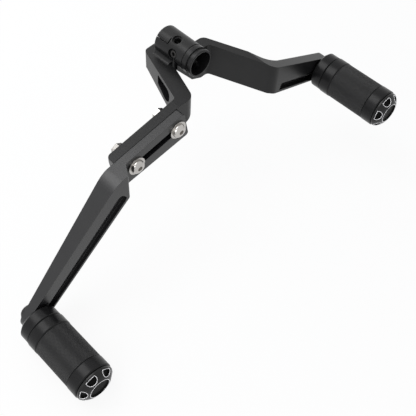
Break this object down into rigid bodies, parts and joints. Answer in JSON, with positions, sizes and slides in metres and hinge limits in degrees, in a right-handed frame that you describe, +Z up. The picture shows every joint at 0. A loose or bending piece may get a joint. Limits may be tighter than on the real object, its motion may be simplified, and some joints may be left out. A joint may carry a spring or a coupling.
{
  "type": "heel toe shift lever",
  "caption": "Motorbike foot gear lever with a clamped hub, a heel arm, a slotted toe arm bolted on, and a knurled round peg on each arm.",
  "frame": {"origin": "centre of the hub's outboard face, on the bore axis", "axes": "+X forward towards the toe peg, +Y outboard along the hub bore and both pegs, +Z up, square to the flat top of the main lever"},
  "size_m": [0.3567, 0.1631, 0.1393],
  "materials": {
    "black_lever": "satin black anodised",
    "black_arm": "satin black anodised",
    "bright_steel": "bright stainless",
    "dark_steel": "black oxide",
    "black_peg": "satin black anodised",
    "black_knurl": "black anodised, knurled",
    "black_cap": "black anodised with bright cut edges"
  },
  "bodies": {
    "root": {"main_lever": "black_lever", "toe_arm": "black_arm", "clamp_screws": "bright_steel", "clamp_washers": "bright_steel", "clamp_nuts": "bright_steel", "hub_set_screw": "dark_steel", "toe_peg_spindle": "black_peg", "toe_peg_inner_ring": "black_peg", "toe_peg_sleeve": "black_knurl", "toe_peg_outer_ring": "black_peg", "toe_peg_cap": "black_cap", "toe_peg_washer": "dark_steel", "toe_peg_bolt": "dark_steel", "heel_peg_spindle": "black_peg", "heel_peg_inner_ring": "black_peg", "heel_peg_sleeve": "black_knurl", "heel_peg_outer_ring": "black_peg", "heel_peg_cap": "black_cap", "heel_peg_washer": "dark_steel", "heel_peg_bolt": "dark_steel"}
  },
  "joints": []
}
